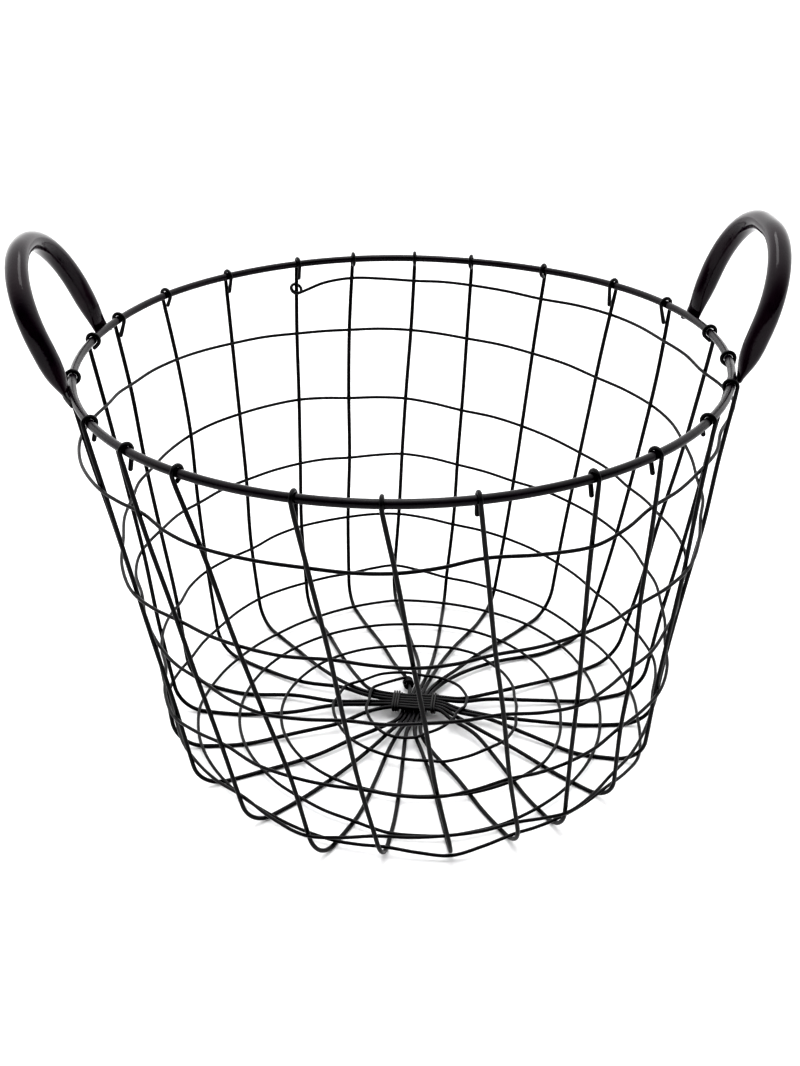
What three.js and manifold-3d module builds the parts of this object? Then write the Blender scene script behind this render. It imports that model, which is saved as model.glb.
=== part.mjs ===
// Wire egg basket: a rim ring, twelve through wires hooked over it, one weft wire woven round
// them, two hub bindings and two carrying handles welded to the rim.
// Millimetres, +Z up. The origin is on the floor, under the middle of the rim.

import * as THREE from "three";
import { mergeVertices } from "three/addons/utils/BufferGeometryUtils.js";
import Module from "manifold-3d";

// Wire and tube diameters
const RIM_WIRE = 4.4;
const RIB_WIRE = 2.3;
const WEFT_WIRE = 1.8;
const TIE_WIRE = 1.2;
const HANDLE_CORE = 3;
const GAP = 0.3; // clearance between pieces that touch on the real basket

// Basket
const RIM_RADIUS = 165; // to the centre of the rim wire
const RIM_HEIGHT = 217.5;
const BASE_RADIUS = 135; // where the lines of wall and base would meet
const BASE_CENTRE = [4.7, -0.3]; // the base is woven a little off the rim's axis
const BASE_BEND = 18; // radius of the bend from wall to base
const BASE_SLOPE_START = 100; // the base wires lie on the floor outside this radius
const LOWER_COMB_RISE = 3.4; // of the lower six wires, at the hub
const SIDES = 6; // of every wire's section

// Where each rib hooks over the rim, where it turns into the base, and where it passes at four
// radii of the base, in degrees anticlockwise from +X. The wires were set by hand, so none of
// these lists is evenly spaced.
const RIM_ANGLES = [
  188, 170, 159, 144, 128, 112, 100, 87, 75, 59, 42, 27,
  10, -3, -16, -32, -48, -60.5, -79, -93, -106, -126, -138, -151,
];
const CORNER_ANGLES = [
  195, 179, 167, 151, 134, 120, 108, 95, 80, 66, 51, 36,
  23, 7, -7, -23, -40, -56, -67, -82, -97, -110, -129, -148,
];
const BASE_STATIONS = [
  {
    radius: 100,
    bearings: [
      199, 182, 170, 154, 137, 122, 107, 93, 79, 66, 52, 36,
      20, 4, -10, -26, -39, -54, -69, -82, -96, -107, -126, -145,
    ],
  },
  {
    radius: 70,
    bearings: [
      201, 184, 170, 158, 143, 128, 105, 90, 77, 68, 54, 43,
      17, 4, -13, -24, -37, -49, -71, -82, -96, -107, -123, -140,
    ],
  },
  {
    radius: 45,
    bearings: [
      204, 181, 176, 157, 151, 138, 103, 85, 75, 69, 55, 49,
      12, 5, -16, -20, -35, -41, -77, -84, -97, -108, -120, -137,
    ],
  },
  {
    radius: 28,
    bearings: [
      200, 184, 178, 164, 158, 151, 97, 82, 74, 68, 57, 51,
      6, 0, -16, -22, -31, -39, -81, -88, -98, -107, -117, -130,
    ],
  },
];
const RIBS = RIM_ANGLES.length;
// A few ribs turn a little further in or out than the rest (rib number: radius).
const CORNER_REACH = new Map([[5, 138], [7, 132], [9, 128], [10, 131], [11, 140], [22, 141]]);
// How far each rib's wall stretch stands off a straight line, at four places down the wall:
// sideways (anticlockwise), or outwards for the ribs at the basket's sides
const WALL_BOWS = [
  [0, -1.5, -2.5, -3.5], [-1, -1.5, -1.5, 0], [-2, -0.5, -1, -2],
  [-3.5, -4.5, -1.5, 0], [0, 0, 0, 1.5], [1, 1, 1.5, 2],
  [1.5, 1.5, 0.5, 1], [-0.5, 0, 0, -0.5], [-0.5, -1, -1, -1.5],
  [0, -0.5, -1, -1], [1, 1, 1, 1], [-4, -5, -5, -3.5],
  [1.5, 2, 1, 1.5], [0, 0.5, 0.5, -0.5], [0, 1, 0, -0.5],
  [0, 0.5, 0, -0.5], [0.5, 0, 1.5, -1], [-0.5, 0, 0.5, 0],
  [-0.5, -1, -0.5, -1], [0.5, 0, 0, -1], [0, 0, -1, -1.5],
  [1.5, 0.5, 1.5, 3], [1, 0.5, 0.5, 0], [0, 0, 0, -0.5],
];
const SIDE_RIBS = [1, 2, 13, 14, 15, 16, 23, 24];
const WALL_STEPS = 5;

// The hub: six wires run across over six that run front to back. Directions are bearings.
const HUB = [6.2, -1.8];
const HALF_LANE = 14; // half the straight length of a wire through the hub
const LANE_PITCH = RIB_WIRE + GAP;
const LANE_BEND = 7;
const UPPER_WAY = -7;
const LOWER_WAY = -103;
const UPPER_WIRES = [[6, 13], [5, 14], [4, 15], [3, 16], [2, 17], [1, 18]];
const LOWER_WIRES = [[7, 24], [8, 23], [9, 22], [10, 21], [11, 20], [12, 19]];

// Rim hooks
const HOOK_RADIUS = 3.85;
const HOOK_STEPS = 8;
// The tail past each hook (rib number: its length and its lean back towards the wall in
// radians). The rest are closed up under the rim.
const TAILS = new Map([
  [2, [3, 0.8]], [3, [8.5, 0.34]], [4, [7.5, 0.36]], [5, [8.5, 0.32]], [6, [8, 0.32]],
  [11, [11, 0.05]], [12, [10, 0.05]], [13, [3.5, 0.85]], [16, [6.5, 0.2]], [17, [8.5, 0.25]],
  [18, [8.5, 0.2]], [19, [8, 0.05]], [21, [12.5, 0.12]], [23, [9, 0.2]], [24, [8, 0.25]],
]);
const CLOSED_TAIL = [2.4, 1];

// The weft's distance down a rib from the rim, at every third rib of each turn. On the base it is
// ROLLED_OUT less the distance from the middle of the base.
const ROLLED_OUT = 349.5;
const WEFT_TURNS = [
  [13, 18, 22, 28, 37, 32, 34, 38],
  [44, 55, 70, 85, 87, 92, 88, 82],
  [87, 105, 118, 127, 125, 127, 122, 123],
  [124, 139, 154, 167, 170, 168, 169, 167],
  [163, 179, 190, 197, 201, 199, 205, 201],
  [199, 215, 220, 214, 219, 226, 226, 235],
  [229, 236, 243, 240, 234, 247, 250, 254],
  [260, 261, 266, 260, 265, 269, 274, 280],
  [287, 284, 290, 286, 294, 299, 304, 310],
  [321, 320, 318, 321, 315, 315, 324, 324],
  [326],
];
const RIBS_PER_STATION = 3;
const WEFT_START_RIB = 6;
const WEFT_LEAD = 2; // ribs from the start to the first distance above
const WEFT_NUDGES = new Map([[1, -3.5], [13, -4.5]]); // by how much a crossing is off that line
const WEFT_CROSSINGS = RIBS * (WEFT_TURNS.length - 1) + WEFT_LEAD;
const WEAVE_OFFSET = (RIB_WIRE + WEFT_WIRE) / 2 + 1.5 * GAP; // between the centres where they cross
const OUTSIDE_FIRST_TURN = [11, 14, 18, 22, 24, 1]; // the ribs it passes outside, first time round
const LOOSE = new Map([[8, 3.5]]); // crossings where it stands off the rib
const LAST_DIVE = 220; // further down than this the weft stays inside
const LAST_SLACK = 222; // on the base it is taut
const WRAP_RADIUS = WEAVE_OFFSET + 0.1; // of the end knot
const WRAP_PITCH = WEFT_WIRE + GAP;
const WRAP_STEPS = 8;
const EYE_TURNS = 1.25;
const EYE_RADIUS = 3.3;
const KNOT_TURNS = 1.75;

// Hub bindings: thin wire wrapped round the upper six wires at both ends of the hub
const BINDINGS = [
  { name: "hub_binding_left", start: -12.7, turns: 2.5 },
  { name: "hub_binding_right", start: 9.4, turns: 2 },
];
const BINDING_PITCH = TIE_WIRE + 0.25;
// The flat oval they follow, in corners of [side, degrees round the outermost wire]
const OVAL = [
  [1, 0], [1, 45], [1, 90], [-1, 90], [-1, 135],
  [-1, 180], [-1, 225], [-1, 270], [1, 270], [1, 315],
];

// Handles: an arch that leans outwards from a front and a back foot on the outside of the rim.
// Feet are bearings; insets are how far the shoulders stand in from the feet; toes are how far
// the core rod runs on along the rim.
const HANDLES = [
  {
    side: "left",
    feet: [193.6, 163.3],
    height: 63.5,
    lean: 22.3,
    insets: [4.8, 2],
    bend: 41.3,
    toes: [22, 5],
  },
  {
    side: "right",
    feet: [-10.6, 20.2],
    height: 66,
    lean: 19.3,
    insets: [2, -0.9],
    bend: 40,
    toes: [5, 5],
  },
];
const TOE_BEND = 2.5;
const ARCH_STEPS = 8;
const GRIP_WIDTH = 10.4; // along the rim
const GRIP_THICKNESS = 11.7;
// The grip's flattened ends: [distance from the foot, width, thickness]. They lie square to the
// rim, and the grip turns to face the arch's way by the distance UNTWISTED.
const GRIP_ENDS = [[1.6, 12.4, 4.8], [4.5, 11.8, 6.4], [8, 11, 8.6], [12, 10.6, 10.3], [17, 10.4, 11.3]];
const UNTWISTED = 32;

const UP = new THREE.Vector3(0, 0, 1);

const enamel = new THREE.MeshStandardMaterial({ color: 0x0d0c0d, roughness: 0.42, metalness: 0.3 });
const gloss = new THREE.MeshStandardMaterial({ color: 0x140e13, roughness: 0.22, metalness: 0.2 });
const tieWire = new THREE.MeshStandardMaterial({ color: 0x0a0a0a, roughness: 0.5, metalness: 0.4 });

const radians = (degrees) => THREE.MathUtils.degToRad(degrees);
const heading = (degrees) =>
  new THREE.Vector3(Math.cos(radians(degrees)), Math.sin(radians(degrees)), 0);
const level = ([x, y], z) => new THREE.Vector3(x, y, z);
const along = (from, direction, distance) => from.clone().addScaledVector(direction, distance);

// Circumradius of a polygon with the same area as a round wire.
function polygonRadius(diameter, sides) {
  return (diameter / 2) * Math.sqrt((2 * Math.PI) / (sides * Math.sin((2 * Math.PI) / sides)));
}

// Height of a round wire's centre when its polygon lies flat on the floor.
const FLOOR_LINE = polygonRadius(RIB_WIRE, SIDES) * Math.cos(Math.PI / SIDES);
const UPPER_COMB_RISE = LOWER_COMB_RISE + RIB_WIRE + GAP;

// A polygon with a flat side facing -Y.
function polygon(diameter, sides) {
  const radius = polygonRadius(diameter, sides);
  return Array.from({ length: sides }, (_, i) => {
    const angle = ((i + 0.5) * 2 * Math.PI) / sides - Math.PI / 2;
    return new THREE.Vector2(radius * Math.cos(angle), radius * Math.sin(angle));
  });
}

// Points of the arc of a given radius that rounds the corner a-b-c.
function roundCorner(a, b, c, radius, steps) {
  const back = a.clone().sub(b).normalize();
  const on = c.clone().sub(b).normalize();
  const half = back.angleTo(on) / 2;
  const bisector = back.clone().add(on).normalize();
  const centre = along(b, bisector, radius / Math.sin(half));
  const start = along(b, back, radius / Math.tan(half)).sub(centre);
  const end = along(b, on, radius / Math.tan(half)).sub(centre);
  const axis = start.clone().cross(end).normalize();
  return Array.from({ length: steps + 1 }, (_, i) =>
    start.clone().applyAxisAngle(axis, ((Math.PI - 2 * half) * i) / steps).add(centre));
}

// Sweeps a section along stations, each with a point `at`, a direction `side` that the
// section's X axis keeps to, and optional `wide` and `thick` scales of the section's X and Y. A
// station with no side carries on from the one before without twisting.
function sweep(outline, stations) {
  const steps = stations.length - 1;
  const shape = new THREE.Shape(outline);
  const bar = new THREE.ExtrudeGeometry(shape, { depth: steps, steps, bevelEnabled: false });
  const frames = [];
  stations.forEach(({ at, side }, i) => {
    const intoHere = at.clone().sub(stations[Math.max(i - 1, 0)].at).normalize();
    const outOfHere = stations[Math.min(i + 1, steps)].at.clone().sub(at).normalize();
    const tangent = intoHere.add(outOfHere).normalize();
    const reference = side ?? frames[i - 1].across;
    const across = along(reference, tangent, -reference.dot(tangent)).normalize();
    frames.push({ across, over: tangent.cross(across) });
  });
  const position = bar.getAttribute("position");
  for (let i = 0; i < position.count; i++) {
    const row = Math.round(position.getZ(i));
    const { at, wide = 1, thick = 1 } = stations[row];
    const point = along(at, frames[row].across, position.getX(i) * wide);
    point.addScaledVector(frames[row].over, position.getY(i) * thick);
    position.setXYZ(i, point.x, point.y, point.z);
  }
  bar.computeVertexNormals();
  return bar;
}

const wasm = await Module();
wasm.setup();

function toSolid(geometry) {
  const points = new THREE.BufferGeometry();
  points.setAttribute("position", geometry.getAttribute("position"));
  const merged = mergeVertices(points);
  const vertProperties = merged.getAttribute("position").array;
  const triVerts = new Uint32Array(merged.index.array);
  return new wasm.Manifold(new wasm.Mesh({ numProp: 3, vertProperties, triVerts }));
}

function cutFrom(body, tool) {
  const { vertProperties, triVerts } = toSolid(body).subtract(toSolid(tool)).getMesh();
  const geometry = new THREE.BufferGeometry();
  geometry.setAttribute("position", new THREE.BufferAttribute(vertProperties, 3));
  geometry.setIndex(new THREE.BufferAttribute(triVerts, 1));
  geometry.computeVertexNormals();
  return geometry;
}

const basket = new THREE.Group();

function addPiece(name, geometry, material) {
  const mesh = new THREE.Mesh(geometry, material);
  mesh.name = name;
  basket.add(mesh);
}

// One rib: half a through wire, from the tip of its tail to the end of its hub lane.
function makeRib(number, laneEnd, rise) {
  const index = number - 1;
  const out = heading(RIM_ANGLES[index]);
  const rim = along(level([0, 0], RIM_HEIGHT), out, RIM_RADIUS);
  const onBase = (radius, bearing, height) =>
    along(level(BASE_CENTRE, FLOOR_LINE + height), heading(bearing), radius);
  const corner = onBase(CORNER_REACH.get(number) ?? BASE_RADIUS, CORNER_ANGLES[index], 0);
  const inwards = BASE_STATIONS.map(({ radius, bearings }) => {
    const share = (BASE_SLOPE_START - radius) / (BASE_SLOPE_START - HALF_LANE);
    return onBase(radius, bearings[index], rise * share);
  });

  const wallLean = Math.atan2(RIM_RADIUS - BASE_RADIUS, RIM_HEIGHT);
  const [tailLength, tailLean] = TAILS.get(number) ?? CLOSED_TAIL;
  const onHook = (angle) =>
    along(along(rim, out, HOOK_RADIUS * Math.cos(angle)), UP, HOOK_RADIUS * Math.sin(angle));
  const hookSweep = Math.PI + wallLean + tailLean;
  const hook = Array.from({ length: HOOK_STEPS }, (_, i) =>
    onHook(-wallLean + (hookSweep * (HOOK_STEPS - i)) / HOOK_STEPS));
  const tailWay = along(UP.clone().multiplyScalar(-Math.cos(tailLean)), out, Math.sin(tailLean));
  const tailTip = along(hook[0], tailWay, tailLength);

  const wallTop = onHook(-wallLean);
  const bend = roundCorner(wallTop, corner, inwards[0], BASE_BEND, 5);
  const bowed = SIDE_RIBS.includes(number) ? out : UP.clone().cross(out);
  const wall = [0, ...WALL_BOWS[index]].map((bow, i) =>
    along(wallTop.clone().lerp(bend[0], i / WALL_STEPS), bowed, bow));

  const floorStart = wall.length + bend.length - 1;
  const flat = [0.15, 0.85].map((share) => bend[bend.length - 1].clone().lerp(inwards[0], share));
  const side = UP.clone().cross(heading(CORNER_ANGLES[index])).negate();
  const foot = [...wall, ...bend, ...flat, ...inwards];
  const stations = [tailTip, ...hook, ...foot].map((at) => ({ at, side }));
  const spine = [...foot, laneEnd];
  const wallLength = wallTop.distanceTo(bend[0]);
  const distances = spine.map((at, i) => {
    const onFloor = ROLLED_OUT - Math.hypot(at.x - BASE_CENTRE[0], at.y - BASE_CENTRE[1]);
    return i < floorStart ? wallLength * Math.min(i / WALL_STEPS, 1) : onFloor;
  });
  const bendEnd = distances[floorStart];
  bend.forEach((_, i) => {
    distances[WALL_STEPS + i] = wallLength + ((bendEnd - wallLength) * i) / (bend.length - 1);
  });
  return { stations, spine, distances, laneEnd, laneStart: inwards[inwards.length - 1] };
}

const ribs = new Map();

// A through wire joins two ribs by a straight lane across the hub.
function makeThroughWire(name, [first, last], lane, laneWay, rise) {
  const sideways = UP.clone().cross(laneWay);
  const middle = along(level(HUB, FLOOR_LINE + rise), sideways, lane);
  const start = makeRib(first, along(middle, laneWay, -HALF_LANE), rise);
  const end = makeRib(last, along(middle, laneWay, HALF_LANE), rise);
  ribs.set(first, start);
  ribs.set(last, end);
  const intoLane = roundCorner(start.laneStart, start.laneEnd, end.laneEnd, LANE_BEND, 3);
  const outOfLane = roundCorner(start.laneEnd, end.laneEnd, end.laneStart, LANE_BEND, 3);
  const hub = [...intoLane, ...outOfLane].map((at) => ({ at, side: sideways }));
  const backwards = end.stations.map(({ at, side }) => ({ at, side: side.clone().negate() }));
  const stations = [...start.stations, ...hub, ...backwards.reverse()];
  addPiece(name, sweep(polygon(RIB_WIRE, SIDES), stations), enamel);
}

UPPER_WIRES.forEach((pair, i) => {
  const lane = (2.5 - i) * LANE_PITCH;
  makeThroughWire(`upper_wire_${i + 1}`, pair, lane, heading(UPPER_WAY), UPPER_COMB_RISE);
});
LOWER_WIRES.forEach((pair, i) => {
  const lane = (i - 2.5) * LANE_PITCH;
  makeThroughWire(`lower_wire_${i + 1}`, pair, lane, heading(LOWER_WAY), LOWER_COMB_RISE);
});

// The point, direction and outward normal of a rib at a distance down from the rim.
function onRib(number, distance) {
  const { spine, distances } = ribs.get(number);
  let i = 0;
  while (i < spine.length - 2 && distance > distances[i + 1]) {
    i += 1;
  }
  const at = spine[i].clone();
  at.lerp(spine[i + 1], (distance - distances[i]) / (distances[i + 1] - distances[i]));
  const direction = spine[i + 1].clone().sub(spine[i]).normalize();
  const cornerOut = heading(CORNER_ANGLES[number - 1]);
  const outward = direction.clone().cross(UP.clone().cross(cornerOut)).normalize();
  return { at, direction, outward };
}

// The weft's distance down the ribs, a smooth line through the stations.
const weftDistances = WEFT_TURNS.flat();
function weftDistance(crossing) {
  const place = Math.max((crossing - WEFT_LEAD) / RIBS_PER_STATION, 0);
  const i = Math.min(Math.floor(place), weftDistances.length - 2);
  const t = place - i;
  const [a, b, c, d] = [i - 1, i, i + 1, i + 2].map(
    (k) => weftDistances[THREE.MathUtils.clamp(k, 0, weftDistances.length - 1)]);
  const smooth = b + (t * (c - a + t * (2 * a - 5 * b + 4 * c - d + t * (3 * (b - c) + d - a)))) / 2;
  return smooth + (WEFT_NUDGES.get(crossing) ?? 0);
}

// The weft passes inside most ribs and outside a few; after the first turn, outside one in four.
function weftCrossing(crossing) {
  const number = ((WEFT_START_RIB - 1 + crossing) % RIBS) + 1;
  const distance = weftDistance(crossing);
  const place = onRib(number, distance);
  const turn = Math.floor(crossing / RIBS);
  const isOutside = turn === 0
    ? OUTSIDE_FIRST_TURN.includes(number)
    : (number + 2 * turn) % 4 === 2 && distance < LAST_DIVE;
  const offset = isOutside ? WEAVE_OFFSET + (LOOSE.get(crossing) ?? 0) : -WEAVE_OFFSET;
  return { ...place, at: along(place.at, place.outward, offset), ribAt: place.at, distance };
}

// Points of a wire wrapped round an axis, ending in the direction `to` from it.
function wrap(centre, axis, to, turns, radius, pitch) {
  const steps = Math.round(turns * WRAP_STEPS);
  const end = along(to, axis, -to.dot(axis)).normalize().multiplyScalar(radius);
  return Array.from({ length: steps + 1 }, (_, i) => {
    const turn = (i - steps) / WRAP_STEPS;
    const spoke = end.clone().applyAxisAngle(axis, 2 * Math.PI * turn);
    return spoke.add(along(centre, axis, pitch * turn));
  });
}

// The weft starts in an eye round a rib, spirals down the wall and in over the base, and ends
// in a knot round a rib by the hub. Between ribs it bulges out from the chord, which leaves it
// on a circle, with a little slack on the wall.
function makeWeft() {
  const crossings = Array.from({ length: WEFT_CROSSINGS }, (_, i) => weftCrossing(i));
  const first = crossings[0];
  const last = crossings[crossings.length - 1];
  const upRib = first.direction.clone().negate();
  const inwards = first.outward.clone().negate();
  const route = wrap(first.ribAt, upRib, inwards, EYE_TURNS, EYE_RADIUS, WRAP_PITCH);
  crossings.slice(1).forEach((crossing, i) => {
    if (crossing !== last) {
      const before = crossings[i].at;
      const middle = before.clone().lerp(crossing.at, 0.5);
      const out = middle.clone().sub(level(BASE_CENTRE, middle.z));
      const sagitta = before.distanceToSquared(crossing.at) / (8 * out.length());
      const fade = THREE.MathUtils.clamp((LAST_SLACK - crossing.distance) / 60, 0, 1);
      const slack = fade * (1 + Math.sin((i + 1) * 2.7));
      route.push(along(middle, out.clone().normalize(), sagitta + slack), crossing.at);
    }
  });
  const upwards = last.outward.clone().negate();
  const knot = wrap(last.ribAt, last.direction, upwards, KNOT_TURNS, WRAP_RADIUS, -WRAP_PITCH);
  route.push(...knot.reverse());
  return route.map((at, i) => (i === 0 ? { at, side: UP } : { at }));
}
addPiece("weft_wire", sweep(polygon(WEFT_WIRE, SIDES), makeWeft()), enamel);

const rimRing = new THREE.TorusGeometry(RIM_RADIUS, polygonRadius(RIM_WIRE, 8), 8, 60);
rimRing.translate(0, 0, RIM_HEIGHT);
addPiece("rim_ring", rimRing, enamel);

for (const { name, start, turns } of BINDINGS) {
  const reach = (RIB_WIRE + TIE_WIRE) / 2 + GAP;
  const way = heading(UPPER_WAY);
  const sideways = UP.clone().cross(way);
  const middle = along(level(HUB, FLOOR_LINE + UPPER_COMB_RISE), way, start);
  const stations = Array.from({ length: OVAL.length * turns + 1 }, (_, i) => {
    const [side, degrees] = OVAL[i % OVAL.length];
    const across = side * 2.5 * LANE_PITCH + reach * Math.cos(radians(degrees));
    const over = reach * Math.sin(radians(degrees));
    const at = along(along(middle, sideways, across), UP, over);
    return { at: along(at, way, (BINDING_PITCH * i) / OVAL.length) };
  });
  stations[0].side = way;
  addPiece(name, sweep(polygon(TIE_WIRE, SIDES), stations), tieWire);
}

// A handle: a core rod whose toes lie along the rim, inside a grip flattened at both ends.
function makeHandle({ side, feet, height, lean, insets, bend, toes }) {
  const footRadius = RIM_RADIUS + (RIM_WIRE + HANDLE_CORE) / 2 + GAP;
  const onRim = (bearing) => along(level([0, 0], RIM_HEIGHT), heading(bearing), footRadius);
  const middleBearing = (feet[0] + feet[1]) / 2;
  const out = heading(middleBearing);
  const climb = along(UP.clone().multiplyScalar(Math.cos(radians(lean))), out, Math.sin(radians(lean)));
  const [front, back] = feet.map(onRim);
  const alongRim = back.clone().sub(front).normalize();
  const face = alongRim.clone().cross(climb);
  const shoulders = [
    along(along(front, climb, height), alongRim, insets[0]),
    along(along(back, climb, height), alongRim, -insets[1]),
  ];

  const legs = [front, back].map((foot, i) => {
    const away = Math.sign(feet[i] - middleBearing) * THREE.MathUtils.radToDeg(toes[i] / footRadius);
    const toe = [1, 0.6].map((share) => onRim(feet[i] + share * away));
    const heel = roundCorner(onRim(feet[i] + 0.3 * away), foot, shoulders[i], TOE_BEND, 3);
    const arch = roundCorner(foot, shoulders[i], shoulders[1 - i], bend, ARCH_STEPS);
    const way = shoulders[i].clone().sub(foot).normalize();
    const radial = heading(feet[i]);
    radial.multiplyScalar(Math.sign(radial.dot(face)));
    return { foot, toe, heel, arch, way, radial };
  });
  const arch = [...legs[0].arch, ...legs[1].arch.slice().reverse()];
  const rod = (leg) => [...leg.toe, ...leg.heel].map((at) => ({ at, side: face }));
  const core = [...rod(legs[0]), ...arch.map((at) => ({ at, side: face })), ...rod(legs[1]).reverse()];

  const faceAt = (at) => {
    const facing = face.clone();
    legs.forEach(({ foot, radial }) => {
      facing.lerp(radial, 1 - THREE.MathUtils.smoothstep(at.distanceTo(foot), 0, UNTWISTED));
    });
    return facing;
  };
  const gripEnd = ({ foot, way }) => GRIP_ENDS.map(([distance, width, thickness]) => {
    const at = along(foot, way, distance);
    return { at, side: faceAt(at), wide: thickness, thick: width };
  });
  const gripArch = arch.map((at) =>
    ({ at, side: faceAt(at), wide: GRIP_THICKNESS, thick: GRIP_WIDTH }));
  const grip = [...gripEnd(legs[0]), ...gripArch, ...gripEnd(legs[1]).reverse()];
  const bore = sweep(polygon(HANDLE_CORE + 2.5 * GAP, 8), core);
  addPiece(`handle_core_${side}`, sweep(polygon(HANDLE_CORE, SIDES), core), enamel);
  addPiece(`handle_grip_${side}`, cutFrom(sweep(polygon(1, 12), grip), bore), gloss);
}
HANDLES.forEach(makeHandle);

export default basket;
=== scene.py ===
"""A wire egg basket: a rim ring, twelve through wires hooked over it, one weft wire woven round
them, two bindings at the hub and two carrying handles welded to the rim.

Routes are worked out in millimetres, in the row's own frame: +Z up, the origin on the floor
under the middle of the rim. Meshes are made in metres."""

import math

import bpy
import numpy as np
from mathutils import Matrix, Vector


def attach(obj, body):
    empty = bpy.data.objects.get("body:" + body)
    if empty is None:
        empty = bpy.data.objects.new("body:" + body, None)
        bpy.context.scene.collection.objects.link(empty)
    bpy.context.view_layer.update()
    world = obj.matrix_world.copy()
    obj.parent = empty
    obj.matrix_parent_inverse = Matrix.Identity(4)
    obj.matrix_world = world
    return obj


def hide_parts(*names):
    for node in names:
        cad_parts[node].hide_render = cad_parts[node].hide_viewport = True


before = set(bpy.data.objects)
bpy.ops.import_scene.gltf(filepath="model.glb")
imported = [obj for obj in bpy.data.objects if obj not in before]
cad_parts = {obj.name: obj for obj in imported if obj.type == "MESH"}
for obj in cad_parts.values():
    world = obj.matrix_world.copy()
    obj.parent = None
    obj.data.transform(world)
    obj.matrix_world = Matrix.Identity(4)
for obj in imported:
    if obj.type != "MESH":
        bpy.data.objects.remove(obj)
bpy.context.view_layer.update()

MM = 0.001

# Diameters of wires and cores, and the gap left between wires at a weld or in the hub, as in the
# frame
RIM_WIRE = 4.4
RIB_WIRE = 2.3
WEFT_WIRE = 1.8
TIE_WIRE = 1.2
HANDLE_CORE = 3.0
GAP = 0.3

# Basket
RIM_RADIUS = 165.0
RIM_HEIGHT = 217.5
BASE_RADIUS = 135.0
BASE_CENTRE = (4.7, -0.3)
BASE_BEND = 18.0
FLOOR_LINE = RIB_WIRE / 2
LOWER_RISE = 3.4
UPPER_RISE = LOWER_RISE + RIB_WIRE + GAP

# Where each rib hooks over the rim, turns into the base, and passes at each distance from the
# middle of the base, in degrees anticlockwise from +X. None of these is evenly spaced.
RIM_ANGLES = [
    188, 170, 159, 144, 128, 112, 100, 87, 75, 59, 42, 27,
    10, -3, -16, -32, -48, -60.5, -79, -93, -106, -126, -138, -151,
]
CORNER_ANGLES = [
    195, 179, 167, 151, 134, 120, 108, 95, 80, 66, 51, 36,
    23, 7, -7, -23, -40, -56, -67, -82, -97, -110, -129, -148,
]
BASE_ANGLES = {
    100: [199, 182, 170, 154, 137, 122, 107, 93, 79, 66, 52, 36,
          20, 4, -10, -26, -39, -54, -69, -82, -96, -107, -126, -145],
    70: [201, 184, 170, 158, 143, 128, 105, 90, 77, 68, 54, 43,
         17, 4, -13, -24, -37, -49, -71, -82, -96, -107, -123, -140],
    45: [204, 181, 176, 157, 151, 138, 103, 85, 75, 69, 55, 49,
         12, 5, -16, -20, -35, -41, -77, -84, -97, -108, -120, -137],
    28: [200, 184, 178, 164, 158, 151, 97, 82, 74, 68, 57, 51,
         6, 0, -16, -22, -31, -39, -81, -88, -98, -107, -117, -130],
}
RIBS = len(RIM_ANGLES)
CORNER_REACH = {5: 138, 7: 132, 9: 128, 10: 131, 11: 140, 22: 141}  # where it isn't BASE_RADIUS
FLAT_RADIUS = 100  # inside this, a rib climbs towards its lane at the hub

# How far the rim stands above RIM_HEIGHT at each rib, over how many degrees that is smoothed, and
# how its thickness changes from front to back
RIM_LIFTS = [
    0.5, 0.8, 1.2, 2.2, 2.2, 2.1, 1.9, 1.3, 0.6, 0.3, 1.0, 1.5,
    2.0, 1.6, 1.2, 1.5, 1.1, 0.6, -0.1, -0.3, -0.2, 0, 0, 0.2,
]
LIFT_SPREAD = 19
RIM_SHARE = 0.955
RIM_SHARE_SWING = 0.055

# How far each rib's wall stretch stands off a straight line, at four places down the wall:
# sideways (anticlockwise), or outwards for the ribs at the basket's sides
WALL_BOWS = [
    [0, -1.5, -2.5, -3.5], [-1, -1.5, -1.5, 0], [-2, -0.5, -1, -2],
    [-3.5, -4.5, -1.5, 0], [0, 0, 0, 1.5], [1, 1, 1.5, 2],
    [1.5, 1.5, 0.5, 1], [-0.5, 0, 0, -0.5], [-0.5, -1, -1, -1.5],
    [0, -0.5, -1, -1], [1, 1, 1, 1], [-4, -5, -5, -3.5],
    [1.5, 2, 1, 1.5], [0, 0.5, 0.5, -0.5], [0, 1, 0, -0.5],
    [0, 0.5, 0, -0.5], [0.5, 0, 1.5, -1], [-0.5, 0, 0.5, 0],
    [-0.5, -1, -0.5, -1], [0.5, 0, 0, -1], [0, 0, -1, -1.5],
    [1.5, 0.5, 1.5, 3], [1, 0.5, 0.5, 0], [0, 0, 0, -0.5],
]
SIDE_RIBS = (1, 2, 13, 14, 15, 16, 23, 24)
WALL_STEPS = 5

# The hub: six wires run across over six that run front to back, each wire joining two ribs by a
# straight lane. The ways are bearings.
HUB = (6.2, -1.8)
HALF_LANE = 14.0
LANE_PITCH = RIB_WIRE + GAP
MIDDLE_LANE = 2.5  # the lanes of a layer are numbered 0 to 5
UPPER_WAY = -7.0
LOWER_WAY = -103.0
UPPER_WIRES = [(6, 13), (5, 14), (4, 15), (3, 16), (2, 17), (1, 18)]
LOWER_WIRES = [(7, 24), (8, 23), (9, 22), (10, 21), (11, 20), (12, 19)]

# Rim hooks: the wire is a little thinner there, from a few millimetres under the rim upwards.
HOOK_RADIUS = 3.25
HOOK_WIRE = 2.05
HOOK_STEPS = 20
THINNING = (6, 1)
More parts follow.
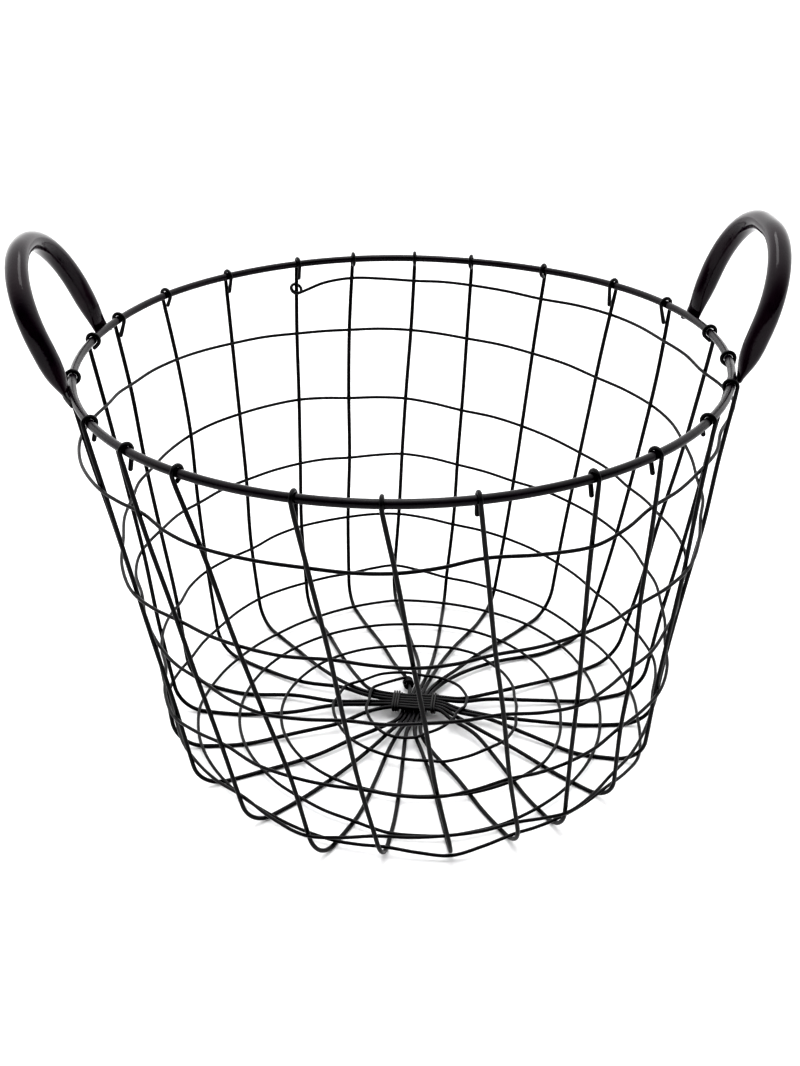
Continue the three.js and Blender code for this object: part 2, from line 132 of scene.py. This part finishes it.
# The tail past each hook: its length, and its lean back towards the wall in radians. The rest
# are closed up under the rim.
TAILS = {
    2: (3.0, 0.8), 3: (8.5, 0.34), 4: (5.0, 0.45), 5: (8.5, 0.32), 6: (8.0, 0.32), 11: (11.0, 0.05),
    12: (10.0, 0.25), 13: (3.5, 0.85), 16: (6.5, 0.2), 17: (8.5, 0.25), 18: (8.5, 0.2),
    19: (8.0, 0.05), 21: (12.5, 0.12), 23: (9.0, 0.2), 24: (8.0, 0.25),
}
CLOSED_TAIL = (2.4, 1.0)

# The weft's distance down the ribs from the rim, at every third rib of each turn.
ROLLED_OUT = 349.5  # distance down a rib plus distance from the middle of the base, on the base
WEFT_TURNS = [
    [13, 18, 22, 28, 37, 32, 34, 38],
    [44, 55, 70, 85, 87, 92, 88, 82],
    [87, 105, 118, 127, 125, 127, 122, 123],
    [124, 139, 154, 167, 170, 168, 169, 167],
    [163, 179, 190, 197, 201, 199, 205, 201],
    [199, 215, 220, 214, 219, 226, 226, 235],
    [229, 236, 243, 240, 234, 247, 250, 254],
    [260, 261, 266, 260, 265, 269, 274, 280],
    [287, 284, 290, 286, 294, 299, 304, 310],
    [321, 320, 318, 321, 315, 315, 324, 324],
    [324],
]
RIBS_PER_STATION = 3
WEFT_START_RIB = 6
WEFT_LEAD = 2  # ribs from the start to the first distance above
WEFT_NUDGES = {1: -3.5, 13: -4.5}  # by how much a crossing is off that line
WEFT_CROSSINGS = RIBS * (len(WEFT_TURNS) - 1) + WEFT_LEAD
WEFT_WOBBLE = 0.8  # it fades out towards the base, as the slack between ribs does
WOBBLE_FADE = 30
SLACK = 0.6
SLACK_SWING = 0.5
SLACK_FADE = 60
LAST_BULGE = 222  # further down than this the weft is taut
WEAVE_OFFSET = (RIB_WIRE + WEFT_WIRE) / 2 + 0.2  # between the centres where they cross
OUTSIDE_FIRST_TURN = (11, 14, 18, 22, 24, 1)  # the ribs it passes outside, first time round
LOOSE = {8: 3.5}  # crossings where it stands off the rib
LAST_DIVE = 220  # further down than this it stays inside
# The eye it starts in and the knot it ends in
WRAP_STEPS = 12
WRAP_RADIUS = WEAVE_OFFSET + 0.1
WRAP_PITCH = WEFT_WIRE + 0.15
EYE_TURNS = 1.3
EYE_RADIUS = 3.3
EYE_PITCH = 0.6
EYE_TILT = 50
KNOT_TURNS = 2.75

# Hub ties: thin wire wrapped round the upper six wires. How far along their way each starts, and
# its turns.
TIES = {"left": (-12.9, 3.0), "right": (9.4, 2.0)}
TIE_REACH = (RIB_WIRE + TIE_WIRE) / 2 + 0.1
TIE_PITCH = TIE_WIRE + 0.2
TIE_OVAL = [(1, 0), (1, 45), (1, 90), (-1, 90), (-1, 135), (-1, 180),
            (-1, 225), (-1, 270), (1, 270), (1, 315)]  # side, degrees round its outermost wire

# The room is brightest towards BRIGHT_WAY, behind and above the basket, and dim behind the camera.
BRIGHT_WAY = (0.0, 0.8, 0.6)
FRONT_LIGHT = 0.15
BACK_LIGHT = 2.1
LAMP_PLACE = (0, 0.2, 1.15)
LAMP_SIZE = (0.28, 0.8)
LAMP_WATTS = 3.0
FLOOR_HALF = 9.0
BLACK_LEVEL = 0.006

UP = Vector((0, 0, 1))


def heading(degrees):
    return Vector((math.cos(math.radians(degrees)), math.sin(math.radians(degrees)), 0))


def at_level(place, z):
    return Vector((place[0], place[1], z))


def arc(centre, first, second, radius, start, end, steps):
    """Points of an arc in the plane of two unit vectors, between two angles in radians."""
    angles = np.linspace(start, end, steps + 1)
    return [centre + radius * (math.cos(a) * first + math.sin(a) * second) for a in angles]


def round_corner(a, b, c, radius, steps=10):
    """Points of the arc of a given radius that rounds the corner a-b-c."""
    back, on = (a - b).normalized(), (c - b).normalized()
    half = back.angle(on) / 2
    centre = b + (back + on).normalized() * (radius / math.sin(half))
    start = b + back * (radius / math.tan(half)) - centre
    end = b + on * (radius / math.tan(half)) - centre
    axis = start.cross(end).normalized()
    turn = math.pi - 2 * half
    return [centre + Matrix.Rotation(turn * i / steps, 3, axis) @ start for i in range(steps + 1)]


def smooth(points, spacing):
    """A smooth line through the points (a centripetal Catmull-Rom spline), as an array."""
    knots = np.array([tuple(p) for p in points], float)
    chords = np.linalg.norm(np.diff(knots, axis=0), axis=1)
    spans = np.sqrt(chords)[:, None]
    slopes = np.diff(knots, axis=0) / spans
    inner = (slopes[:-1] * spans[1:] + slopes[1:] * spans[:-1]) / (spans[:-1] + spans[1:])
    tangents = np.vstack([slopes[:1], inner, slopes[-1:]])
    pieces = []
    for i, chord in enumerate(chords):
        steps = max(1, math.ceil(chord / spacing))
        u = (np.arange(steps) / steps)[:, None]
        lift, leave, arrive = u * u * (3 - 2 * u), u * (1 - u) ** 2, u * u * (u - 1)
        pieces.append(knots[i] * (1 - lift) + knots[i + 1] * lift
                      + spans[i] * (leave * tangents[i] + arrive * tangents[i + 1]))
    return np.vstack([*pieces, knots[-1:]])


# ---------------------------------------------------------------- meshes

CAP_ANGLES = np.radians([12, 40, 65])  # where the rings of a rounded end stand, from its tip


def frames_along(path, reference, closed):
    """A tangent and a pair of normals at each point. The first normal keeps to the reference, one
    vector per point, or is carried along from a single one without twisting."""
    if closed:
        tangents = np.roll(path, -1, axis=0) - np.roll(path, 1, axis=0)
    else:
        tangents = np.gradient(path, axis=0)
    tangents /= np.linalg.norm(tangents, axis=1)[:, None]
    across = np.zeros_like(path)
    reference = np.array(reference, float)
    carried = reference
    for i, tangent in enumerate(tangents):
        if reference.ndim == 2:
            carried = reference[i]
        carried = carried - tangent * carried.dot(tangent)
        carried /= np.linalg.norm(carried)
        across[i] = carried
    return tangents, across, np.cross(tangents, across)


def tube(name, path, width, sides=12, thickness=None, reference=(0, 0, 1), closed=False, cap=0.9):
    """A wire or tube along a path. Width and thickness are diameters, one or one per point, and
    its open ends are rounded by caps this many radii long."""
    path = np.array(path, float)
    width = np.broadcast_to(width, len(path)).astype(float) / 2
    thickness = width if thickness is None else np.broadcast_to(thickness, len(path)) / 2
    tangents, across, over = frames_along(path, reference, closed)
    if not closed:
        rings = len(CAP_ANGLES)
        swell, reach = np.sin(CAP_ANGLES), cap * np.cos(CAP_ANGLES)[:, None]
        first = path[0] - reach * thickness[0] * tangents[0]
        last = (path[-1] + reach * thickness[-1] * tangents[-1])[::-1]
        path = np.vstack([first, path, last])
        width = np.concatenate([width[0] * swell, width, width[-1] * swell[::-1]])
        thickness = np.concatenate([thickness[0] * swell, thickness, thickness[-1] * swell[::-1]])
        across = np.vstack([across[:1]] * rings + [across] + [across[-1:]] * rings)
        over = np.vstack([over[:1]] * rings + [over] + [over[-1:]] * rings)
    angle = 2 * np.pi * np.arange(sides) / sides
    points = (path[:, None, :]
              + (width[:, None] * np.cos(angle))[:, :, None] * across[:, None, :]
              + (thickness[:, None] * np.sin(angle))[:, :, None] * over[:, None, :])
    count = len(path)
    ring = np.arange(count if closed else count - 1)[:, None] * sides
    here, beside = np.arange(sides), (np.arange(sides) + 1) % sides
    ahead = (ring + sides) % (count * sides)
    quads = np.stack([ring + here, ring + beside, ahead + beside, ahead + here], -1)
    faces = quads.reshape(-1, 4).tolist()
    if not closed:
        faces += [list(range(sides))[::-1], list(range((count - 1) * sides, count * sides))]
    return mesh_piece(name, points.reshape(-1, 3), faces)


def mesh_piece(name, points, faces):
    mesh = bpy.data.meshes.new(name)
    mesh.from_pydata((points * MM).tolist(), [], faces)
    mesh.validate()
    mesh.shade_smooth()
    piece = bpy.data.objects.new(name, mesh)
    bpy.context.scene.collection.objects.link(piece)
    return piece


def finish_piece(piece, material, node=None):
    piece.data.materials.append(material)
    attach(piece, "root")
    if node:
        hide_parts(node)


# ---------------------------------------------------------------- routes

def rim_level(bearing):
    """Height of the rim wire's centre at a bearing in degrees, smooth between the ribs."""
    every = np.arange(360)
    order = np.argsort(RIM_ANGLES)
    lifts = np.interp(every, np.array(RIM_ANGLES)[order], np.array(RIM_LIFTS)[order], period=360)
    spread = np.hanning(LIFT_SPREAD)
    spread /= spread.sum()
    half = LIFT_SPREAD // 2
    lifts = np.convolve(np.concatenate([lifts[-half:], lifts, lifts[:half]]), spread, mode="valid")
    return RIM_HEIGHT + np.interp(bearing, every, lifts, period=360)


def rib_route(number, lane_end, rise):
    """Half a through wire. Gives the hook, from the tip of its tail, and the spine from the top
    of the wall to the lane's end, as points with their nominal distance down from the rim."""
    index = number - 1
    out = heading(RIM_ANGLES[index])
    lift = RIM_LIFTS[index]
    rim = out * RIM_RADIUS + UP * (RIM_HEIGHT + lift)
    lean = math.atan2(RIM_RADIUS - BASE_RADIUS, RIM_HEIGHT)
    tail, tail_lean = TAILS.get(number, CLOSED_TAIL)
    hook = arc(rim, out, UP, HOOK_RADIUS, math.pi + tail_lean, -lean, HOOK_STEPS)
    tail_tip = hook[0] + (out * math.sin(tail_lean) - UP * math.cos(tail_lean)) * tail

    def on_base(radius, bearing, height=0.0):
        return at_level(BASE_CENTRE, FLOOR_LINE + height) + heading(bearing) * radius

    corner = on_base(CORNER_REACH.get(number, BASE_RADIUS), CORNER_ANGLES[index])
    stations = []
    for radius, bearings in BASE_ANGLES.items():
        share = (FLAT_RADIUS - radius) / (FLAT_RADIUS - HALF_LANE)
        stations.append(on_base(radius, bearings[index], rise * share))
    bend = round_corner(hook[-1], corner, stations[0], BASE_BEND)
    wall_way = bend[0] - hook[-1]
    bowed = out if number in SIDE_RIBS else heading(RIM_ANGLES[index] + 90)
    bows = [0, *WALL_BOWS[index], 0]
    wall = [hook[-1] + wall_way * (i / WALL_STEPS) + bowed * bow for i, bow in enumerate(bows)]

    points = wall + bend[1:] + stations + [lane_end]
    on_floor = [ROLLED_OUT - (point - at_level(BASE_CENTRE, 0)).xy.length
                for point in [bend[-1]] + stations + [lane_end]]
    wall_end = wall_way.length - lift
    distances = [*np.linspace(-lift, wall_end, len(wall)),
                 *np.linspace(wall_end, on_floor[0], len(bend))[1:-1], *on_floor]
    return {"hook": [tail_tip] + hook[:-1], "points": points, "distances": distances}


def through_wire(pair, lane, way, rise):
    """A through wire: two ribs joined by a lane, so far to the left of its layer's middle."""
    way = heading(way)
    middle = at_level(HUB, FLOOR_LINE + rise) + UP.cross(way) * lane
    ribs = [rib_route(number, middle + way * end, rise)
            for number, end in zip(pair, (-HALF_LANE, HALF_LANE))]
    near, far = ribs
    points = (near["hook"] + near["points"] + [middle]
              + far["points"][::-1] + far["hook"][::-1])
    return dict(zip(pair, ribs)), smooth(points, 2.0)


def all_through_wires():
    """Every rib by its number, and every through wire's route by the node it stands for."""
    ribs, wires = {}, {}
    layers = [("upper", UPPER_WIRES, -1, UPPER_WAY, UPPER_RISE),
              ("lower", LOWER_WIRES, 1, LOWER_WAY, LOWER_RISE)]
    for layer, pairs, order, way, rise in layers:
        for i, pair in enumerate(pairs):
            lane = order * (i - MIDDLE_LANE) * LANE_PITCH
            made, wires[f"{layer}_wire_{i + 1}"] = through_wire(pair, lane, way, rise)
            ribs.update(made)
    for rib in ribs.values():
        rib["line"] = smooth(rib["points"], 2.0)
        points = np.array([tuple(point) for point in rib["points"]])
        knots = np.linalg.norm(rib["line"][:, None] - points, axis=2).argmin(axis=0)
        rib["down"] = np.interp(np.arange(len(rib["line"])), knots, rib["distances"])
    return ribs, wires


def on_rib(rib, number, distance):
    """The point, direction and outward normal of a rib at a distance down from the rim."""
    def place(down):
        return Vector([np.interp(down, rib["down"], rib["line"][:, axis]) for axis in range(3)])
    direction = (place(distance + 1) - place(distance - 1)).normalized()
    base_out = heading(CORNER_ANGLES[number - 1])
    outward = direction.cross(UP.cross(base_out)).normalized()
    return place(distance), direction, outward


def weft_distance(crossing):
    """The weft's distance down the ribs, a smooth line through the stations."""
    stations = [d for turn in WEFT_TURNS for d in turn]
    place = max((crossing - WEFT_LEAD) / RIBS_PER_STATION, 0)
    i = min(int(place), len(stations) - 2)
    t = place - i
    a, b, c, d = (stations[min(max(k, 0), len(stations) - 1)] for k in range(i - 1, i + 3))
    line = b + t * (c - a + t * (2 * a - 5 * b + 4 * c - d + t * (3 * (b - c) + d - a))) / 2
    wobble = WEFT_WOBBLE * math.sin(crossing * 1.9) * math.sin(crossing * 0.37)
    fade = min(1, max(0, (LAST_BULGE - line) / WOBBLE_FADE))
    return line + wobble * fade + WEFT_NUDGES.get(crossing, 0)


def wrap(centre, axis, to, turns, radius, pitch):
    """Points of a wire wrapped round an axis, ending in the direction `to` from it."""
    steps = round(turns * WRAP_STEPS)
    end = (to - axis * to.dot(axis)).normalized() * radius
    points = []
    for i in range(steps + 1):
        turn = (i - steps) / WRAP_STEPS
        points.append(centre + axis * (pitch * turn)
                      + Matrix.Rotation(2 * math.pi * turn, 3, axis) @ end)
    return points


def weft_route(ribs):
    """The weft starts in an eye round a rib, spirals down the wall and in over the base, and ends
    in a knot round a rib by the hub."""
    crossings = []
    for crossing in range(WEFT_CROSSINGS):
        number = (WEFT_START_RIB - 1 + crossing) % RIBS + 1
        distance = weft_distance(crossing)
        at, direction, outward = on_rib(ribs[number], number, distance)
        turn = crossing // RIBS
        if turn == 0:
            outside = number in OUTSIDE_FIRST_TURN
        else:
            outside = (number + 2 * turn) % 4 == 2 and distance < LAST_DIVE
        offset = WEAVE_OFFSET + LOOSE.get(crossing, 0) if outside else -WEAVE_OFFSET
        crossings.append((at + outward * offset, direction, outward, distance, at))
    _, direction, outward, _, centre = crossings[0]
    eye_axis = Matrix.Rotation(math.radians(EYE_TILT), 3, direction.cross(outward)) @ -direction
    points = wrap(centre, eye_axis, -outward, EYE_TURNS, EYE_RADIUS, EYE_PITCH)
    for i in range(1, len(crossings)):
        before, here = crossings[i - 1][0], crossings[i][0]
        middle = (before + here) / 2
        out = middle - at_level(BASE_CENTRE, middle.z)
        sagitta = (before - here).length_squared / (8 * out.length)
        slack = SLACK + SLACK_SWING * math.sin(i * 2.7)
        fade = min(1.0, max(0.0, (LAST_BULGE - crossings[i][3]) / SLACK_FADE))
        if i < len(crossings) - 1:
            points.append(middle + out.normalized() * (sagitta + slack * fade))
        points.append(here)
    _, direction, outward, _, centre = crossings[-1]
    knot = wrap(centre, direction, -outward, KNOT_TURNS, WRAP_RADIUS, -WRAP_PITCH)
    points[-1:] = knot[::-1]
    return smooth(points, 1.8)


def binding_route(start, turns):
    """A hub tie, wrapped along a flat oval."""
    way = heading(UPPER_WAY)
    sideways = UP.cross(way)
    middle = at_level(HUB, FLOOR_LINE + UPPER_RISE) + way * start
    points = []
    for i in range(round(len(TIE_OVAL) * turns) + 1):
        side, degrees = TIE_OVAL[i % len(TIE_OVAL)]
        across = side * MIDDLE_LANE * LANE_PITCH + TIE_REACH * math.cos(math.radians(degrees))
        over = TIE_REACH * math.sin(math.radians(degrees))
        points.append(middle + way * (TIE_PITCH * i / len(TIE_OVAL))
                      + sideways * across + UP * over)
    return smooth(points, 0.6)


# ---------------------------------------------------------------- handles

# Bearings of a handle's front and back feet, the height and lean of its arch, how far its
# shoulders stand in from its feet, the radius of its shoulders, how far its toes run on along the
# rim, and how far above each foot its grip starts
HANDLES = {
    "left": {"feet": (193.6, 163.3), "height": 63.5, "lean": 22.3, "insets": (4.8, 2.0),
             "bend": 41.3, "toes": (17.0, 5.0), "starts": (-3.5, -0.5)},
    "right": {"feet": (-10.6, 20.2), "height": 66.0, "lean": 19.3, "insets": (2.0, -0.9),
              "bend": 40.0, "toes": (5.0, 5.0), "starts": (-1.0, 1.0)},
}
TOE_BEND = 2.5
TOE_SINKS = (2.4, 1.5, 0.6, 0.0)  # how far a toe sinks towards the rim, from its tip to its foot
FOOT_RADIUS = RIM_RADIUS + (RIM_WIRE + HANDLE_CORE) / 2 + GAP
# The grip from its flattened end: distance from the end, width along the rim, thickness
GRIP_SECTIONS = [(0, 12.4, 3.2), (2.5, 12.2, 4.2), (5.5, 11.7, 6.4), (9, 11.0, 8.6),
                 (13, 10.6, 10.3), (18, 10.4, 11.3), (27, 10.4, 11.7)]
UNTWISTED = 32.0  # the grip has turned square to the arch this far from its foot
WELD_SINK = 1.4
WELD_RADIUS = 1.3


def handle_routes(feet, height, lean, insets, bend, toes, starts):
    """The core rod's route, its legs, and the grip's route."""
    places = [heading(bearing) * FOOT_RADIUS + UP * RIM_HEIGHT for bearing in feet]
    out = heading(sum(feet) / 2)
    along_rim = (places[1] - places[0]).normalized()
    climb = UP * math.cos(math.radians(lean)) + out * math.sin(math.radians(lean))
    shoulders = [place + climb * height + along_rim * shift
                 for place, shift in zip(places, (insets[0], -insets[1]))]
    legs = []
    for i, (bearing, foot, toe) in enumerate(zip(feet, places, toes)):
        away = math.degrees(toe / FOOT_RADIUS) * math.copysign(1, bearing - sum(feet) / 2)
        toe_end = heading(bearing + away) * (FOOT_RADIUS - WELD_SINK) + UP * RIM_HEIGHT
        toe_bearings = np.linspace(bearing + away, bearing + 0.3 * away, len(TOE_SINKS))
        toe_run = [heading(b) * (FOOT_RADIUS - sink) + UP * (RIM_HEIGHT - sink / 2)
                   for b, sink in zip(toe_bearings, TOE_SINKS)]
        toe_turn = round_corner(toe_run[-1], foot, shoulders[i], TOE_BEND, 6)
        legs.append({"foot": foot, "toe": toe_end, "radial": heading(bearing),
                     "way": (shoulders[i] - foot).normalized(),
                     "toe_arc": toe_run[:-1] + toe_turn,
                     "bend": round_corner(foot, shoulders[i], shoulders[1 - i], bend, 14)})
    front, back = legs
    arch = front["bend"] + back["bend"][::-1]
    core = front["toe_arc"] + arch + back["toe_arc"][::-1]
    ends = [[leg["foot"] + leg["way"] * reach for reach in (start, 5, 10, 15)]
            for leg, start in zip(legs, starts)]
    grip = ends[0] + arch + ends[1][::-1]
    return {"core": smooth(core, 1.5), "grip": smooth(grip, 1.5), "legs": legs,
            "face": along_rim.cross(climb)}


def grip_faces(path, legs, face):
    """The way the grip's thickness faces at each point: square to the rim at the feet, and square
    to the arch above them."""
    faces = np.tile(np.array(tuple(face)), (len(path), 1))
    for leg in legs:
        radial = leg["radial"] * math.copysign(1, leg["radial"].dot(face))
        distance = np.linalg.norm(path - np.array(tuple(leg["foot"])), axis=1)
        share = np.clip(1 - distance / UNTWISTED, 0, 1)[:, None]
        share = share * share * (3 - 2 * share)
        faces = faces * (1 - share) + np.array(tuple(radial)) * share
    return faces


def grip_sections(path):
    """The grip's width and thickness at each point of its path."""
    distance = np.linalg.norm(path[:, None] - path[[0, -1]], axis=2).min(axis=1)
    above, widths, thicknesses = zip(*GRIP_SECTIONS)
    return np.interp(distance, above, widths), np.interp(distance, above, thicknesses)


# ---------------------------------------------------------------- materials

ORANGE_PEEL = 0.12
GRAIN = 0.08


def coated(name, dark, light, roughness, specular):
    """A near-black coat with slow changes of tone between two colours, uneven gloss between two
    roughnesses, and a small ripple."""
    material = bpy.data.materials.new(name)
    material.use_nodes = True
    nodes, links = material.node_tree.nodes, material.node_tree.links
    shader = nodes["Principled BSDF"]
    shader.inputs["Specular IOR Level"].default_value = specular
    place = nodes.new("ShaderNodeTexCoord")

    def noise(scale, detail):
        node = nodes.new("ShaderNodeTexNoise")
        node.inputs["Scale"].default_value = scale
        node.inputs["Detail"].default_value = detail
        links.new(place.outputs["Object"], node.inputs["Vector"])
        return node.outputs["Fac"]

    tone = nodes.new("ShaderNodeValToRGB")
    tone.color_ramp.elements[0].position = 0.35
    tone.color_ramp.elements[0].color = (*dark, 1)
    tone.color_ramp.elements[1].position = 0.7
    tone.color_ramp.elements[1].color = (*light, 1)
    links.new(noise(45, 4), tone.inputs["Fac"])
    links.new(tone.outputs["Color"], shader.inputs["Base Color"])

    gloss = nodes.new("ShaderNodeMapRange")
    gloss.inputs["From Min"].default_value = 0.3
    gloss.inputs["From Max"].default_value = 0.7
    gloss.inputs["To Min"].default_value = roughness[0]
    gloss.inputs["To Max"].default_value = roughness[1]
    links.new(noise(160, 3), gloss.inputs["Value"])
    links.new(gloss.outputs["Result"], shader.inputs["Roughness"])

    peel = nodes.new("ShaderNodeBump")
    peel.inputs["Strength"].default_value = ORANGE_PEEL
    peel.inputs["Distance"].default_value = 0.4 * MM
    links.new(noise(700, 2), peel.inputs["Height"])
    fine = nodes.new("ShaderNodeBump")
    fine.inputs["Strength"].default_value = GRAIN
    fine.inputs["Distance"].default_value = 0.1 * MM
    links.new(noise(3200, 2), fine.inputs["Height"])
    links.new(peel.outputs["Normal"], fine.inputs["Normal"])
    links.new(fine.outputs["Normal"], shader.inputs["Normal"])
    return material


# ---------------------------------------------------------------- stage

def make_camera():
    """Looks 28 degrees down onto the basket from about 0.85 m."""
    camera = bpy.data.objects.new("camera", bpy.data.cameras.new("camera"))
    bpy.context.scene.collection.objects.link(camera)
    camera.location = (0, -0.6988, 0.4863)
    yaw, pitch, roll = 0.00237, 0.48669, -0.01029
    turned = Matrix.Rotation(yaw, 3, "Z") @ Matrix.Rotation(math.pi / 2 - pitch, 3, "X")
    camera.rotation_euler = (turned @ Matrix.Rotation(roll, 3, "Z")).to_euler()
    camera.data.sensor_width = 36
    camera.data.lens = 49.2
    bpy.context.scene.camera = camera


def make_stage():
    """The white floor that the basket stands on."""
    corners = np.array([(-1, -1, 0), (1, -1, 0), (1, 1, 0), (-1, 1, 0)]) * (FLOOR_HALF / MM)
    floor = mesh_piece("floor", corners, [[0, 1, 2, 3]])
    material = bpy.data.materials.new("floor")
    material.use_nodes = True
    shader = material.node_tree.nodes["Principled BSDF"]
    shader.inputs["Base Color"].default_value = (0.86, 0.86, 0.865, 1)
    shader.inputs["Roughness"].default_value = 0.9
    shader.inputs["Specular IOR Level"].default_value = 0.1
    floor.data.materials.append(material)


def make_light():
    """A white room, and a lamp overhead."""
    world = bpy.data.worlds.new("studio")
    bpy.context.scene.world = world
    world.use_nodes = True
    nodes, links = world.node_tree.nodes, world.node_tree.links
    place = nodes.new("ShaderNodeTexCoord")
    facing = nodes.new("ShaderNodeVectorMath")
    facing.operation = "DOT_PRODUCT"
    facing.inputs[1].default_value = BRIGHT_WAY
    links.new(place.outputs["Generated"], facing.inputs[0])
    ramp = nodes.new("ShaderNodeMapRange")
    ramp.interpolation_type = "SMOOTHSTEP"
    ramp.inputs["From Min"].default_value = -0.35
    ramp.inputs["From Max"].default_value = 0.7
    ramp.inputs["To Min"].default_value = FRONT_LIGHT
    ramp.inputs["To Max"].default_value = BACK_LIGHT
    links.new(facing.outputs["Value"], ramp.inputs["Value"])
    nodes["Background"].inputs["Color"].default_value = (1, 1, 1, 1)
    links.new(ramp.outputs["Result"], nodes["Background"].inputs["Strength"])

    lamp = bpy.data.objects.new("lamp", bpy.data.lights.new("lamp", "AREA"))
    lamp.data.shape = "RECTANGLE"
    lamp.data.size, lamp.data.size_y = LAMP_SIZE
    lamp.data.energy = LAMP_WATTS
    lamp.location = LAMP_PLACE
    bpy.context.scene.collection.objects.link(lamp)


# ---------------------------------------------------------------- the basket

def weld_bead(name, start, end, radius, seed):
    """A short lump of weld between a handle's toe and the rim."""
    share = np.linspace(0, 1, 14)
    path = np.array([tuple(start + (end - start) * s) for s in share])
    lumps = 1 + 0.18 * np.sin(share * 17 + seed) + 0.1 * np.sin(share * 41 + 2 * seed)
    width = 2 * radius * np.sqrt(np.clip(1 - (2 * share - 1) ** 2, 0.12, 1)) * lumps
    return tube(name, path, width, sides=12, cap=0.6)


def make_wires(enamel):
    ribs, wires = all_through_wires()
    heights = [RIM_HEIGHT - below for below in THINNING]
    for node, path in wires.items():
        width = np.interp(path[:, 2], heights, [RIB_WIRE, HOOK_WIRE])
        finish_piece(tube(f"{node}_round", path, width), enamel, node)
    weft = tube("weft_round", weft_route(ribs), WEFT_WIRE, sides=10)
    finish_piece(weft, enamel, "weft_wire")


def make_rim(rim_enamel):
    turn = np.radians(np.arange(0, 360, 1.5))
    ring = RIM_RADIUS * np.stack([np.cos(turn), np.sin(turn), np.zeros_like(turn)], -1)
    ring[:, 2] = rim_level(np.degrees(turn))
    width = RIM_WIRE * (RIM_SHARE - RIM_SHARE_SWING * np.sin(turn))
    rim = tube("rim_round", ring, width, sides=20, closed=True)
    finish_piece(rim, rim_enamel, "rim_ring")


def make_ties(tie):
    for side, (start, turns) in TIES.items():
        piece = tube(f"hub_tie_{side}", binding_route(start, turns), TIE_WIRE, sides=10)
        finish_piece(piece, tie, f"hub_binding_{side}")


def make_handle(side, enamel, rim_enamel, gloss):
    """A handle's core, its grip and its two welds. The grip's faces are the way its thickness
    lies, so tube() takes its two diameters in that order."""
    routes = handle_routes(**HANDLES[side])
    core = tube(f"core_{side}", routes["core"], HANDLE_CORE, sides=14)
    finish_piece(core, enamel, f"handle_core_{side}")
    width, thickness = grip_sections(routes["grip"])
    faces = grip_faces(routes["grip"], routes["legs"], routes["face"])
    grip = tube(f"grip_{side}", routes["grip"], thickness, sides=28, thickness=width,
                reference=faces, cap=0.12)
    finish_piece(grip, gloss, f"handle_grip_{side}")
    for name, leg in zip(("front", "back"), routes["legs"]):
        inwards = -leg["radial"] * (HANDLE_CORE / 2)
        bead = weld_bead(f"weld_{side}_{name}", leg["toe"] + inwards,
                         leg["foot"] + inwards, WELD_RADIUS, len(side) + len(name))
        finish_piece(bead, rim_enamel)


def build():
    enamel = coated("black_enamel", (0.0018, 0.0017, 0.002), (0.006, 0.0055, 0.0065), (0.28, 0.42), 0.13)
    rim_enamel = coated("rim_enamel", (0.0025, 0.0018, 0.0027), (0.008, 0.0055, 0.008), (0.2, 0.34), 0.16)
    gloss = coated("grip_gloss", (0.005, 0.003, 0.005), (0.014, 0.008, 0.0115), (0.06, 0.15), 0.2)
    tie = coated("tie_wire", (0.002, 0.002, 0.002), (0.006, 0.0055, 0.006), (0.4, 0.55), 0.22)
    make_wires(enamel)
    make_rim(rim_enamel)
    make_ties(tie)
    for side in HANDLES:
        make_handle(side, enamel, rim_enamel, gloss)


make_camera()
make_light()
make_stage()
view = bpy.context.scene.view_settings
view.view_transform = "Standard"
view.look = "Medium High Contrast"
view.use_curve_mapping = True
view.curve_mapping.black_level = (BLACK_LEVEL,) * 3
build()
